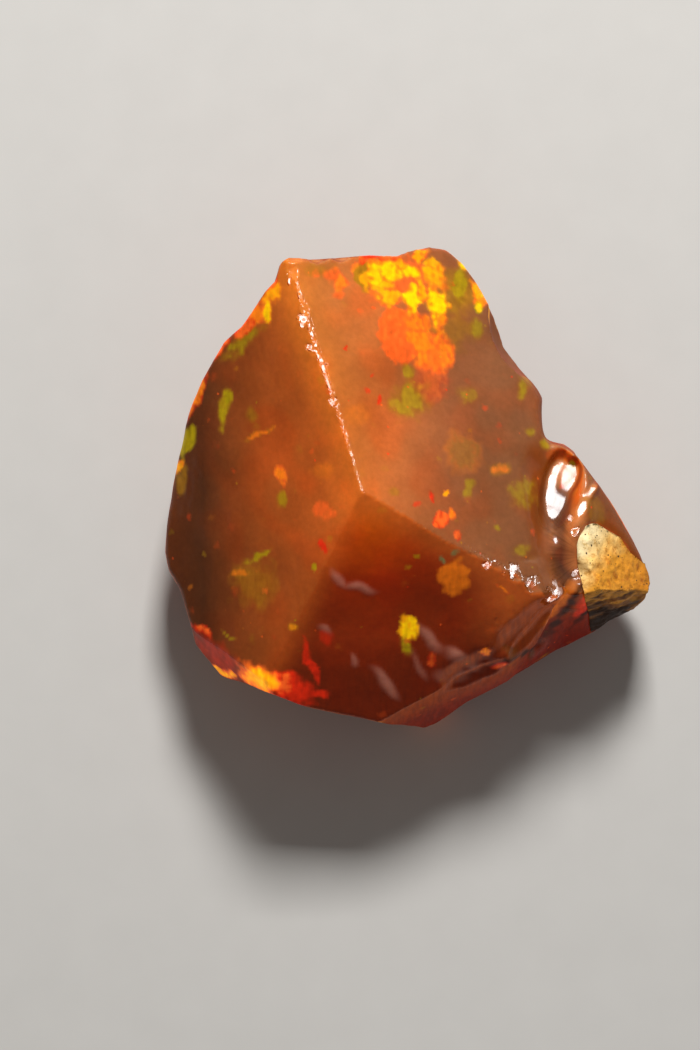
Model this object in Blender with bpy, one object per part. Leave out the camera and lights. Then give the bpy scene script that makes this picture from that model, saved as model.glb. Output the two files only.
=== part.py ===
"""A rough Ethiopian opal: one broken lump of orange opal that still carries a remnant of its host rock.

The stone lies on its flat back, +Z up. Three broad fracture faces fall away from one raised corner. A rounded
shoulder stands on the +X side, and the host rock sits in a socket at the end of the shoulder. The sizes are
in millimetres, which suits a stone of 30 mm, and the solids are put into metres at the end.
"""

import math

import bmesh
import bpy
from mathutils import Matrix, Vector, noise

MM = 0.001

# Driving dimensions, in millimetres. The blocks start out taller than the stone, to be broken to size.
STONE_TOP = 17.0
SOCKET_GAP = 0.3
BLOCK_BOTTOM = -1.0
BLOCK_TOP = 20.0

# The raised corner, and the far ends of the three ridges that meet in it.
CORNER = Vector((-2.7, -0.2, STONE_TOP))
TOP_RIDGE_END = Vector((-7.2, 13.9, 13.8))
RIGHT_RIDGE_END = Vector((9.0, -6.7, 12.5))
LEFT_RIDGE_END = Vector((-8.5, -11.7, 11.5))

# The main mass and the shoulder seen from above, clockwise. Each block is cut to its outline, and then
# fracture planes break its front and its back off.
MAIN_OUTLINE = (
    (-8.0, 12.6), (-7.7, 13.7), (-7.2, 14.1), (-4.7, 14.1), (-2.2, 14.2), (-0.5, 14.4),
    (0.3, 14.7), (1.4, 14.8), (2.5, 14.6), (3.6, 13.8), (4.4, 12.7), (5.0, 11.5),
    (5.6, 10.4), (5.9, 9.0), (6.9, 7.6), (7.7, 6.6), (8.3, 5.6), (8.2, 4.8),
    (8.3, 3.7), (8.9, 1.5), (9.6, -4.5), (9.8, -9.6), (8.4, -10.6), (6.3, -11.9),
    (3.8, -13.2), (1.8, -14.6), (1.1, -14.8), (-1.0, -14.5), (-3.5, -13.8), (-6.6, -13.3),
    (-8.7, -12.5), (-10.1, -11.9), (-11.5, -11.7), (-12.3, -10.4), (-12.9, -9.6), (-13.3, -8.0),
    (-13.9, -6.2), (-14.7, -5.0), (-15.0, -3.8), (-14.9, -1.8), (-14.4, 0.8), (-13.7, 2.8),
    (-13.2, 4.7), (-12.4, 6.5), (-11.0, 8.8), (-9.9, 9.8), (-9.1, 11.1), (-8.6, 12.0),
)
SHOULDER_OUTLINE = (
    (7.0, 3.2), (8.7, 2.9), (9.7, 2.7), (10.4, 2.2), (11.2, 1.0), (12.0, 0.0),
    (13.1, -1.7), (14.2, -3.5), (14.9, -5.0), (15.0, -5.8), (14.7, -6.7), (14.2, -7.2),
    (12.9, -7.8), (11.8, -8.6), (10.2, -9.5), (8.4, -10.5), (6.8, -7.0), (6.3, -1.0),
)

# The three faces round the raised corner, each through three points.
CORNER_FACES = (
    (CORNER, TOP_RIDGE_END, LEFT_RIDGE_END),
    (CORNER, TOP_RIDGE_END, RIGHT_RIDGE_END),
    (CORNER, RIGHT_RIDGE_END, LEFT_RIDGE_END),
)

# The narrow sides under the lower face, each through three points.
RIGHT_SIDE = (Vector((9.2, -6.5, 12.6)), Vector((6.3, -10.2, 11.0)), Vector((8.5, -10.6, 4.0)))
TIP_SIDE = (Vector((6.3, -10.2, 11.0)), Vector((2.2, -12.2, 10.3)), Vector((4.4, -13.0, 5.8)))
LOWER_LEFT_BEVEL = (Vector((-13.4, -8.6, 7.1)), Vector((-11.0, -10.5, 8.9)), Vector((-12.3, -10.4, 6.5)))
SHOULDER_LOWER_SIDE = (Vector((11.0, -6.3, 11.0)), Vector((14.4, -6.4, 7.5)), Vector((12.4, -8.2, 4.0)))

# Other fracture planes: a point on the plane, the way it faces (degrees anticlockwise from +X, seen from
# above) and how far it looks up (degrees, below zero for an underside).
SHOULDER_TOP = (
    ((8.7, 2.9, 8.6), 116.0, 63.0),
    ((10.7, -0.5, 10.6), 12.0, 42.0),
    ((9.8, -3.2, 11.8), -55.0, 72.0),
)
MAIN_BACK = (
    ((-15.0, -3.8, 4.2), 186.0, -44.0),
    ((-12.4, 6.5, 6.2), 150.0, -50.0),
    ((-7.5, 14.2, 9.6), 115.0, -38.0),
    ((2.0, 14.8, 5.2), 80.0, -42.0),
    ((6.6, 8.4, 5.4), 28.0, -33.0),
    ((8.4, -10.7, 1.5), -60.0, -25.0),
    ((1.3, -14.9, 3.4), -85.0, -28.0),
    ((-9.0, -12.9, 5.0), -118.0, -46.0),
)
SHOULDER_BACK = (
    ((11.0, 1.6, 5.0), 40.0, -40.0),
    ((14.9, -5.2, 4.0), 5.0, -46.0),
    ((11.8, -8.7, 1.8), -58.0, -35.0),
)
FLAT_BACK = ((0.0, 0.0, 0.0), 0.0, -90.0)

# The conchoidal scar that makes a notch in the upper right outline: its middle, the way that it faces in
# degrees anticlockwise from +X, the radius of its hollow and how deep it bites.
SCAR = (Vector((6.7, 8.8, 7.4)), 37.0, 4.0, 1.2)
SMOOTH_FROM = 2.0

# Edges that are chipped: the start, the end, the way that the edge faces, and for each chip how far along it
# is, how deep and how large.
CHIPPED_EDGES = (
    (CORNER, TOP_RIDGE_END, Vector((-0.1, 0.1, 1.0)),
     ((0.31, 0.08, 0.7), (0.55, 0.12, 1.0), (0.63, 0.10, 0.6), (0.79, 0.26, 1.1), (0.96, 0.34, 0.8))),
    (CORNER, RIGHT_RIDGE_END, Vector((0.4, 0.0, 1.0)),
     ((0.57, 0.10, 0.8), (0.69, 0.18, 1.1), (0.79, 0.24, 0.7), (0.88, 0.30, 1.0), (0.99, 0.34, 0.8))),
    (Vector((-6.9, 14.1, 13.4)), Vector((-3.4, 14.15, 11.2)), Vector((0.1, 1.0, 0.6)),
     ((0.0, 0.30, 0.9), (0.19, 0.14, 0.5), (0.42, 0.28, 1.2), (0.56, 0.16, 0.5), (0.86, 0.24, 1.1))),
)

# Soft hollows and swellings: each runs from a start to an end, reaches that far to its sides, and pushes the
# surface by that much.
HOLLOWS = (
    # the valley, the dish and the crest of the glassy shoulder, and the groove below them
    (Vector((8.8, 1.4, 9.8)), Vector((9.8, -5.0, 11.4)), 2.1, Vector((0.0, 0.0, -1.0))),
    (Vector((9.6, 0.9, 9.9)), Vector((9.4, -0.9, 10.4)), 1.7, Vector((0.1, 0.0, -0.5))),
    (Vector((10.5, -2.2, 11.2)), Vector((12.0, -0.1, 9.8)), 1.3, Vector((0.0, 0.0, 0.4))),
    (Vector((9.9, -7.2, 10.2)), Vector((8.3, -9.9, 6.0)), 1.3, Vector((-0.6, 0.5, 0.0))),
    # the worn steps in the edge under the lower face
    (Vector((8.5, -7.9, 11.8)), Vector((6.9, -9.5, 11.1)), 1.9, Vector((-0.3, 0.3, -0.8))),
    (Vector((5.0, -11.0, 10.6)), Vector((3.4, -11.8, 10.4)), 1.7, Vector((-0.1, 0.3, -0.6))),
    # the broad hollows of the sides: the front, the front left, the back, the upper left and the flank
    (Vector((-7.0, -13.1, 4.6)), Vector((-2.8, -13.9, 4.4)), 3.8, Vector((0.1, 1.0, 0.0))),
    (Vector((-12.6, -10.0, 3.4)), Vector((-9.6, -12.2, 4.2)), 3.2, Vector((0.5, 0.6, 0.0))),
    (Vector((-7.0, 14.1, 7.0)), Vector((-2.0, 14.2, 6.6)), 4.2, Vector((0.0, -0.9, 0.0))),
    (Vector((-11.8, 7.6, 5.4)), Vector((-9.4, 10.6, 6.4)), 3.4, Vector((0.6, -0.6, 0.0))),
    (Vector((12.0, 0.0, 4.4)), Vector((14.2, -4.0, 4.0)), 2.8, Vector((-0.5, -0.2, 0.0))),
)

HOST_OUTLINE = (
    (10.7, -3.4), (11.1, -2.6), (11.7, -2.4), (12.5, -2.9), (13.2, -3.3), (13.8, -4.2),
    (14.6, -4.9), (17.0, -5.2), (17.0, -10.5), (12.4, -10.5), (11.7, -8.2), (11.2, -6.4), (10.8, -4.9),
)
HOST_BOTTOM = 3.4
HOST_MIDDLE = Vector((14.0, -6.5))

# The longest edge after the faces are divided, and in a hollow as a share of its reach.
LONGEST_EDGE = 1.9
LONGEST_IN_HOLLOW = 0.38
DIVIDINGS = 7

# The unevenness of broken stone: how far apart its swells lie and how high they are. It fades out towards the
# flat back. The noise takes its start from the clock unless it has a seed.
SWELLS = ((7.0, 0.30), (3.6, 0.09))
NOISE_SEED = 11
FADE_HEIGHT = 2.0

# Points closer than this are one point.
SAME_POINT = 0.01

OPAL_COLOUR = (0.42, 0.12, 0.02)
OPAL_ROUGHNESS = 0.15
HOST_COLOUR = (0.62, 0.36, 0.08)
HOST_ROUGHNESS = 0.85


def in_order(bm):
    """The same mesh with its points, edges and faces in a set order.

    Most mesh operations hand their results over in an order that changes from run to run, and the next one
    divides the faces by it. With a set order, every build gives the same stone.
    """
    points = sorted(bm.verts, key=lambda vert: vert.co[:])
    rank = {vert: number for number, vert in enumerate(points)}
    edges = sorted(sorted(rank[vert] for vert in edge.verts) for edge in bm.edges)
    faces = []
    for face in bm.faces:
        corners = [rank[vert] for vert in face.verts]
        first = corners.index(min(corners))
        faces.append(corners[first:] + corners[:first])
    ordered = bmesh.new()
    verts = [ordered.verts.new(vert.co) for vert in points]
    for start, end in edges:
        ordered.edges.new((verts[start], verts[end]))
    for corners in sorted(faces):
        ordered.faces.new([verts[number] for number in corners])
    ordered.normal_update()
    bm.free()
    return ordered


def block(outline, bottom, top):
    """An upright block of stone with that outline."""
    bm = bmesh.new()
    floor = bm.faces.new([bm.verts.new((x, y, bottom)) for x, y in outline])
    raised = bmesh.ops.extrude_face_region(bm, geom=[floor])["geom"]
    corners = [part for part in raised if isinstance(part, bmesh.types.BMVert)]
    bmesh.ops.translate(bm, verts=corners, vec=(0.0, 0.0, top - bottom))
    bmesh.ops.recalc_face_normals(bm, faces=bm.faces)
    return in_order(bm)


def facing(degrees_round, degrees_up):
    """The direction that looks that way round and that far up."""
    around = math.radians(degrees_round)
    up = math.radians(degrees_up)
    return Vector((math.cos(around) * math.cos(up), math.sin(around) * math.cos(up), math.sin(up)))


def break_off(bm, point, outward):
    """Breaks off all that lies outside the plane, and closes the break with one flat face."""
    geometry = bm.verts[:] + bm.edges[:] + bm.faces[:]
    bmesh.ops.bisect_plane(bm, geom=geometry, plane_co=point, plane_no=outward, clear_outer=True)
    rim = [edge for edge in bm.edges if edge.is_boundary]
    bmesh.ops.contextual_create(bm, geom=rim)
    bmesh.ops.recalc_face_normals(bm, faces=bm.faces)
    return in_order(bm)


def break_through(bm, corners):
    """Breaks off what lies above the plane through three points."""
    first, second, third = corners
    outward = (second - first).cross(third - first)
    if outward.z < 0.0:
        outward.negate()
    return break_off(bm, first, outward)


def mesh_of(name, bm):
    """Puts the mesh in order and keeps it under that name."""
    mesh = bpy.data.meshes.new(name)
    bm = in_order(bm)
    bm.to_mesh(mesh)
    bm.free()
    return mesh


def opened(mesh):
    """A mesh that was kept, opened to be worked on."""
    bm = bmesh.new()
    bm.from_mesh(mesh)
    return bm


def new_object(name, bm):
    made = bpy.data.objects.new(name, mesh_of(name, bm))
    bpy.context.scene.collection.objects.link(made)
    return made


def guide(name, bm):
    """A helper that shapes another piece and isn't one itself."""
    made = new_object(name, bm)
    made.hide_render = True
    made.display_type = "WIRE"
    return made


def combine(piece, other, operation):
    """Joins a helper to the piece, or cuts it away, and keeps the result as the piece's own mesh."""
    step = piece.modifiers.new("Combine", "BOOLEAN")
    step.operation = operation
    step.object = other
    graph = bpy.context.evaluated_depsgraph_get()
    result = bpy.data.meshes.new_from_object(piece.evaluated_get(graph))
    piece.modifiers.remove(step)
    piece.data = mesh_of(piece.name, opened(result))


def main_mass():
    bm = block(MAIN_OUTLINE, BLOCK_BOTTOM, BLOCK_TOP)
    for corners in (*CORNER_FACES, RIGHT_SIDE, TIP_SIDE, LOWER_LEFT_BEVEL):
        bm = break_through(bm, corners)
    for point, around, up in MAIN_BACK:
        bm = break_off(bm, Vector(point), facing(around, up))
    return bm


def shoulder():
    bm = block(SHOULDER_OUTLINE, BLOCK_BOTTOM, BLOCK_TOP)
    bm = break_through(bm, SHOULDER_LOWER_SIDE)
    for point, around, up in (*SHOULDER_TOP, *SHOULDER_BACK):
        bm = break_off(bm, Vector(point), facing(around, up))
    return bm


def scoop(surface, outward, radius, depth):
    """The ball that a flake was scooped out by, set back so that it bites only to its depth."""
    bm = bmesh.new()
    bmesh.ops.create_icosphere(bm, subdivisions=3 if radius > SMOOTH_FROM else 2, radius=radius)
    bmesh.ops.translate(bm, verts=bm.verts, vec=surface + outward.normalized() * (radius - depth))
    return bm


def scoops():
    """All the balls that scooped flakes out of the stone."""
    middle, around, radius, depth = SCAR
    made = [scoop(middle, facing(around, 0.0), radius, depth)]
    for start, end, outward, chips in CHIPPED_EDGES:
        made += [scoop(start.lerp(end, along), outward, radius, depth) for along, depth, radius in chips]
    return made


def host_block(gap):
    """The room of the host rock, made larger all round by the gap."""
    bm = block(HOST_OUTLINE, HOST_BOTTOM - gap, BLOCK_TOP)
    for vert in bm.verts:
        away = (vert.co.xy - HOST_MIDDLE).normalized() * gap
        vert.co.x += away.x
        vert.co.y += away.y
    return bm


def nearness(point, start, end, reach):
    """1 on the line from start to end, falling softly to 0 at that reach from it."""
    span = end - start
    along = min(1.0, max(0.0, (point - start).dot(span) / span.length_squared))
    far = (point - start.lerp(end, along)).length / reach
    return (1.0 - far * far) ** 2 if far < 1.0 else 0.0


def too_long(edge):
    middle = (edge.verts[0].co + edge.verts[1].co) / 2.0
    longest = LONGEST_EDGE
    for start, end, reach, _ in HOLLOWS:
        if nearness(middle, start, end, reach) > 0.0:
            longest = min(longest, LONGEST_IN_HOLLOW * reach)
    return edge.calc_length() > longest


def divide(bm):
    """Divides the long edges, so that a flat face has points to bend at."""
    bmesh.ops.triangulate(bm, faces=bm.faces[:])
    for _ in range(DIVIDINGS):
        bm = in_order(bm)
        bmesh.ops.subdivide_edges(bm, edges=[edge for edge in bm.edges if too_long(edge)], cuts=1)
        bmesh.ops.triangulate(bm, faces=bm.faces[:])
    return bm


def roughen(bm):
    """Gives the stone its soft hollows and the unevenness of broken faces. The flat back stays flat."""
    for vert in bm.verts:
        shift = Vector()
        for start, end, reach, push in HOLLOWS:
            shift += push * nearness(vert.co, start, end, reach)
        free = min(1.0, max(0.0, vert.co.z / FADE_HEIGHT))
        for spacing, height in SWELLS:
            shift += noise.noise_vector(vert.co / spacing) * height * free
        vert.co += shift


def weather(piece):
    """Divides the faces of a piece and roughens them."""
    bm = opened(piece.data)
    bmesh.ops.remove_doubles(bm, verts=bm.verts, dist=SAME_POINT)
    bmesh.ops.dissolve_degenerate(bm, edges=bm.edges, dist=SAME_POINT)
    bm = divide(in_order(bm))
    roughen(bm)
    piece.data = mesh_of(piece.name, bm)


def place(pieces):
    """Puts the pieces into metres, with the origin under the middle of the whole stone."""
    corners = [vert.co for piece in pieces for vert in piece.data.vertices]
    middle_x = (min(co.x for co in corners) + max(co.x for co in corners)) / 2.0
    middle_y = (min(co.y for co in corners) + max(co.y for co in corners)) / 2.0
    for piece in pieces:
        piece.data.transform(Matrix.Scale(MM, 4) @ Matrix.Translation((-middle_x, -middle_y, 0.0)))


def paint(piece, colour, roughness):
    material = bpy.data.materials.new(piece.name)
    material.use_nodes = True
    shader = material.node_tree.nodes["Principled BSDF"]
    shader.inputs["Base Color"].default_value = (*colour, 1.0)
    shader.inputs["Roughness"].default_value = roughness
    shader.inputs["Metallic"].default_value = 0.0
    piece.data.materials.clear()
    piece.data.materials.append(material)


def opal_solid():
    """The two masses in one, with their scars and chips, lying on the flat back."""
    opal = new_object("opal", main_mass())
    combine(opal, guide("shoulder", shoulder()), "UNION")
    for number, bm in enumerate(scoops()):
        combine(opal, guide(f"scoop_{number}", bm), "DIFFERENCE")
    point, around, up = FLAT_BACK
    opal.data = mesh_of("opal", break_off(opened(opal.data), Vector(point), facing(around, up)))
    return opal


def host_solid(opal):
    """The host rock fills the corner of the stone that the opal leaves free."""
    host_rock = bpy.data.objects.new("host_rock", opal.data.copy())
    bpy.context.scene.collection.objects.link(host_rock)
    combine(host_rock, guide("host_room", host_block(0.0)), "INTERSECT")
    combine(opal, guide("socket", host_block(SOCKET_GAP)), "DIFFERENCE")
    return host_rock


def main():
    for old in list(bpy.data.objects):
        bpy.data.objects.remove(old)
    noise.seed_set(NOISE_SEED)
    opal = opal_solid()
    host_rock = host_solid(opal)
    weather(opal)
    weather(host_rock)
    place((opal, host_rock))
    paint(opal, OPAL_COLOUR, OPAL_ROUGHNESS)
    paint(host_rock, HOST_COLOUR, HOST_ROUGHNESS)


main()
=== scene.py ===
"""The look of the rough opal: a fine skin over each solid, the play of colour, host rock and studio."""

import math
import random

import bmesh
import bpy
import numpy as np
from mathutils import Matrix, Vector, bvhtree, kdtree, noise


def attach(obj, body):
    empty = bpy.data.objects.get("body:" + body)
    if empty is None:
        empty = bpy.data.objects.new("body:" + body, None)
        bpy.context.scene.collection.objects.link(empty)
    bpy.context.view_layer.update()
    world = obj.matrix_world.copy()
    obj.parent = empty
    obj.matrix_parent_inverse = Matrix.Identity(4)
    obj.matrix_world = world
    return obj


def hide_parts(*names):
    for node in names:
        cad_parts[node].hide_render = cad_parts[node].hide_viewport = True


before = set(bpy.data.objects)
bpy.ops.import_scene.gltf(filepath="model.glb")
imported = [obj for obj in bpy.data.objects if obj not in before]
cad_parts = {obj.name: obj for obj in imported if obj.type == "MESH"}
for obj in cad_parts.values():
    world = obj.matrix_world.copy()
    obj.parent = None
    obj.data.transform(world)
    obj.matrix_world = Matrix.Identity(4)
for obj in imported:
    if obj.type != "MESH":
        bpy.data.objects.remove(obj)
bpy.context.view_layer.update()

MM = 0.001

# The size of the skins' faces, in millimetres, and the angle from which a solid's edge counts as a ridge.
OPAL_GRAIN = 0.172
HOST_GRAIN = 0.10
SHARP_ANGLE = math.radians(28.0)

# How many rounds of evening out the skins get, all over and where edges are round, and how strong each is.
OPAL_ROUNDS = 9
HOST_ROUNDS = 14
ROUNDING_ROUNDS = 20
EVENING = 0.6

# In sizes of a face: how near a point of a skin has to be to the solid's surface, or to a ridge, to be
# pulled onto it, between which distances from a ridge the evening out sets in, and how near points merge.
SURFACE_PULL = 0.8
RIDGE_PULL = 0.5
RIDGE_KEPT = (0.6, 4.0)
MERGED = 0.15

# Between which places the shoulder's edges become round, and how upright a side has to be to turn matt.
SHOULDER_X = (7.0, 8.4)
SHOULDER_Y = (-7.2, -5.6)
SHOULDER_Z = (5.5, 7.5)
STEEP = (0.66, 0.34)

# How dark a crack is at most.
CRACK_DARKNESS = 0.85

# The seam round the host rock. Its wall starts to reach for the opal's at SEAM_REACH millimetres. From
# SEAM_CLOSED on it goes SEAM_SHARE of the way, so a little into the opal, and its relief there is weaker by
# SEAM_CALM.
SEAM_REACH = 0.6
SEAM_CLOSED = 0.38
SEAM_SHARE = 1.1
SEAM_CALM = 0.7

# The opal goes on under the host rock: the rock's solid, made this much larger and sunk by this much.
UNDER_HOST_SCALE = 1.06
UNDER_HOST_SHIFT = (-0.30, 0.22, -0.55)

# Places on the stone, in millimetres. The raised corner and the far ends of the ridges, as in the solids:
CORNER = (-2.7, -0.2, 16.9)
TOP_RIDGE_END = (-7.2, 13.8, 13.7)
RIGHT_RIDGE_END = (9.2, -6.6, 12.3)
LEFT_RIDGE_END = (-8.5, -11.7, 11.5)

# The shoulder's valley, the part of it with hackles, the wall above it, and where the hackles spread from.
VALLEY = ((9.2, -0.5, 9.2), (9.8, -5.2, 10.8))
HACKLE_BAND = ((9.2, -1.9, 10.2), (9.4, -5.3, 10.9))
WALL = ((10.4, -1.6, 10.8), (10.2, -4.6, 10.8))
HACKLE_CENTRE = (10.9, -4.1)

# The flame at the lower left corner, whose painted glow is brighter than that of the other flashes: its
# middle and its reach.
FLAME = (-9.0, -11.6)
FLAME_REACH = 1.7

# About how far the stone reaches from its middle.
STONE_REACH = 15.0

# The inner corner of the host rock.
HOST_CORNER = (10.8, -2.6)

# Which way the broad faces look. A point belongs to those that look nearly as it does, the more sharply the
# higher FACE_SHARPNESS is, and to "side" where none does.
FACES = {
    "left": (-0.66, -0.045, 0.75),
    "right": (0.50, 0.35, 0.79),
    "lower": (0.08, -0.445, 0.89),
    "lower_side": (0.61, -0.75, 0.26),
    "shoulder_top": (-0.15, 0.42, 0.90),
    "shoulder_flank": (0.72, 0.15, 0.67),
    "side": (0.0, 0.0, 0.0),
    "back": (0.0, 0.0, -1.0),
}
FACE_SHARPNESS = 26.0
SIDE_CLOSENESS = 0.004

# Small glassy patches of the shoulder that lie flat and lean this way: middle x and y, half length and half
# width in millimetres, turn in degrees from +X.
PATCH_LEAN = (0.0, 0.38, 0.925)
PATCHES = (
    (9.15, -0.1, 2.1, 0.80, 80),
    (9.95, 0.7, 1.05, 0.55, 70),
    (11.1, -0.35, 0.75, 0.30, 45),
    (10.65, -1.25, 0.60, 0.34, 60),
)

# Where the stone is chipped besides its ridges: x, y and reach.
CHIPS = (
    (-7.1, 12.8, 0.45), (-6.4, 10.1, 0.50), (-5.8, 8.3, 0.40), (-4.6, 5.3, 0.35),
    (5.0, -4.6, 0.35), (6.4, -5.0, 0.55), (7.4, -5.7, 0.65), (9.1, -6.3, 0.70), (8.6, -6.8, 0.45),
    (10.3, -2.7, 0.40), (9.9, -1.8, 0.40), (10.4, -5.2, 0.45),
)

# Dark cracks beside the lower face, seen from above: start, end and reach in millimetres.
CRACKS = (
    ((10.7, -5.9), (9.5, -7.8), 0.34),
    ((9.5, -7.8), (8.1, -9.7), 0.36),
    ((8.1, -9.7), (6.0, -10.7), 0.30),
    ((11.0, -7.6), (9.6, -9.3), 0.20),
)

# Ripples of the lower face, which stand out a little and carry a pale painted sheen: middle x and y, half
# length, half width, turn, how strong.
RIPPLE_SHEENS = (
    (-4.2, -5.5, 1.0, 0.34, -48, 0.8),
    (-2.9, -6.1, 1.3, 0.36, -10, 0.8),
    (1.3, -9.1, 1.4, 0.45, -50, 0.9),
    (3.3, -10.4, 1.6, 0.55, -24, 1.0),
    (0.7, -10.7, 1.2, 0.30, -62, 0.6),
    (2.7, -11.4, 1.4, 0.55, -5, 0.8),
    (6.1, -8.9, 0.9, 0.60, 60, 0.5),
    (-1.3, -11.9, 1.5, 0.46, -45, 0.9),
    (-3.2, -10.4, 0.6, 0.28, -70, 0.7),
    (-5.0, -8.6, 0.6, 0.34, -30, 0.7),
)

# How high the reliefs stand or how deep they go, in millimetres.
WAVE_HEIGHT = 0.040
RIPPLE_HEIGHT = 0.012
RIPPLE_SHEEN_HEIGHT = 0.05
CHIP_DEPTH = 0.10
HOST_LUMP_HEIGHT = 0.12
HOST_GRIT_HEIGHT = 0.07

# Each pattern of noise: the size of its lumps in millimetres, and an offset that sets it apart.
NOISE = {
    "waves": (1.6, 0.0),
    "ripples": (0.5, 7.0),
    "ripple sheen x": (1.2, 11.0),
    "ripple sheen y": (1.2, 23.0),
    "chip outline": (0.45, 61.0),
    "chip flakes": (0.38, 5.0),
    "crack outline": (0.8, 51.0),
    "honey clouds": (3.2, 81.0),
    "haze": (2.2, 97.0),
    "flash x": (1.2, 31.0),
    "flash y": (1.2, 43.0),
    "side flash z": (0.9, 57.0),
    "flash outline": (0.8, 3.0),
    "flash fringe": (0.4, 17.0),
    "petal grain": (0.30, 71.0),
    "host lumps": (0.8, 0.0),
    "host grit": (0.3, 3.0),
    "host patches": (0.7, 9.0),
    "host rust": (0.35, 2.0),
    "host dark": (1.1, 19.0),
}

# The studio, with its places and sizes in metres, the lamp's power in watts and the lens in millimetres: what
# the lamp looks at, the lamp, the light of the surroundings, the floor and the camera.
AIM = (0.0, 0.0, 0.008)
KEY_PLACE = (0.02, 0.24, 0.25)
KEY_SIZE = 0.075
KEY_POWER = 1.48
WORLD_COLOUR = (1.0, 0.98, 0.95, 1.0)
WORLD_STRENGTH = 0.16
FLOOR_HALF = 0.8
EYE = (-3.5 * MM, -2.26 * MM, 366.0 * MM)
FOCAL_LENGTH = 200.0
SENSOR_WIDTH = 36.0


def srgb(red, green, blue):
    """A screen colour, 0 to 255, as the linear colour that shaders take."""
    def linear(value):
        value /= 255.0
        return value / 12.92 if value <= 0.04045 else ((value + 0.055) / 1.055) ** 2.4
    return np.array((linear(red), linear(green), linear(blue)))


def smooth_step(low, high, values):
    """0 below low, 1 above high and smooth between them. Low may be the larger, which turns it round."""
    t = np.clip((values - low) / (high - low), 0.0, 1.0)
    return t * t * (3.0 - 2.0 * t)


# ---------------------------------------------------------------------------------------------- skins


def in_millimetres(node):
    """A copy of a CAD node's mesh, in millimetres."""
    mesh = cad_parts[node].data.copy()
    bm = bmesh.new()
    bm.from_mesh(mesh)
    bmesh.ops.scale(bm, vec=(1.0 / MM, 1.0 / MM, 1.0 / MM), verts=bm.verts)
    bmesh.ops.remove_doubles(bm, verts=bm.verts, dist=0.002)
    bm.to_mesh(mesh)
    bm.free()
    mesh.materials.clear()
    return mesh


def joined(first, second):
    """Two meshes as one."""
    bm = bmesh.new()
    bm.from_mesh(first)
    bm.from_mesh(second)
    mesh = bpy.data.meshes.new("joined")
    bm.to_mesh(mesh)
    bm.free()
    return mesh


def remeshed(mesh, grain):
    """The same surface as an even mesh with faces of that size."""
    holder = bpy.data.objects.new("remesh", mesh)
    bpy.context.scene.collection.objects.link(holder)
    step = holder.modifiers.new("Even", "REMESH")
    step.mode = "VOXEL"
    step.voxel_size = grain
    graph = bpy.context.evaluated_depsgraph_get()
    even = bpy.data.meshes.new_from_object(holder.evaluated_get(graph))
    bpy.data.objects.remove(holder)
    return even


def sharp_points(mesh, spacing):
    """Points along the sharp edges of a mesh."""
    bm = bmesh.new()
    bm.from_mesh(mesh)
    points = []
    for edge in bm.edges:
        if len(edge.link_faces) == 2 and edge.calc_face_angle() > SHARP_ANGLE:
            start, end = (vert.co for vert in edge.verts)
            count = max(1, round(edge.calc_length() / spacing))
            points += [start.lerp(end, i / count) for i in range(count + 1)]
    bm.free()
    return points


def tree_of(points):
    """A search tree of points."""
    tree = kdtree.KDTree(len(points))
    for index, point in enumerate(points):
        tree.insert(point, index)
    tree.balance()
    return tree


def surface_of(mesh):
    """A search tree of a mesh's surface."""
    bm = bmesh.new()
    bm.from_mesh(mesh)
    surface = bvhtree.BVHTree.FromBMesh(bm)
    bm.free()
    return surface


def coordinates(mesh):
    flat = np.empty(len(mesh.vertices) * 3)
    mesh.vertices.foreach_get("co", flat)
    return flat.reshape(-1, 3)


def set_coordinates(mesh, points):
    mesh.vertices.foreach_set("co", np.ascontiguousarray(points, dtype=np.float32).ravel())
    mesh.update()


def normals(mesh):
    flat = np.empty(len(mesh.vertices) * 3)
    mesh.vertex_normals.foreach_get("vector", flat)
    return flat.reshape(-1, 3)


def edge_ends(mesh):
    flat = np.empty(len(mesh.edges) * 2, dtype=np.int64)
    mesh.edges.foreach_get("vertices", flat)
    return flat.reshape(-1, 2)


def relax(points, ends, weight, rounds):
    """Moves each point towards the middle of its neighbours, as far as its weight lets it."""
    first, second = ends.T
    count = np.bincount(ends.ravel(), minlength=len(points)).astype(float)
    for _ in range(rounds):
        total = np.zeros_like(points)
        for axis in range(3):
            total[:, axis] += np.bincount(first, points[second, axis], len(points))
            total[:, axis] += np.bincount(second, points[first, axis], len(points))
        points = points + (total / count[:, None] - points) * weight[:, None]
    return points


def line_distance(points, start, end):
    """How far each point is from a line between two points, and how far along it, from 0 to 1."""
    start, end = np.array(start), np.array(end)
    span = end - start
    along = np.clip((points - start) @ span / (span @ span), 0.0, 1.0)
    return np.linalg.norm(points - (start + along[:, None] * span), axis=1), along


def roundness(points):
    """How rounded the edges are, from 0 to 1: the glassy shoulder, the worn left ridge, the lower sides."""
    x, y, z = points.T
    shoulder = smooth_step(*SHOULDER_X, x + 0.08 * y) * smooth_step(*SHOULDER_Y, y)
    shoulder *= smooth_step(*SHOULDER_Z, z)
    far, along = line_distance(points, CORNER, LEFT_RIDGE_END)
    left_ridge = smooth_step(1.3, 0.3, far) * smooth_step(0.02, 0.14, along)
    outer = smooth_step(9.5, 12.5, np.hypot(x, y))
    sides = 0.15 * smooth_step(11.5, 7.5, z) * smooth_step(0.4, 2.0, z) * outer
    return np.maximum(np.maximum(shoulder, left_ridge), sides)


def without_slivers(mesh, least):
    """Merges points that were pulled to one spot of a ridge, and removes the empty faces they leave."""
    bm = bmesh.new()
    bm.from_mesh(mesh)
    bmesh.ops.remove_doubles(bm, verts=bm.verts, dist=least)
    bmesh.ops.triangulate(bm, faces=bm.faces)
    bmesh.ops.dissolve_degenerate(bm, edges=bm.edges, dist=0.1 * least)
    bm.to_mesh(mesh)
    bm.free()
    mesh.update()


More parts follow.
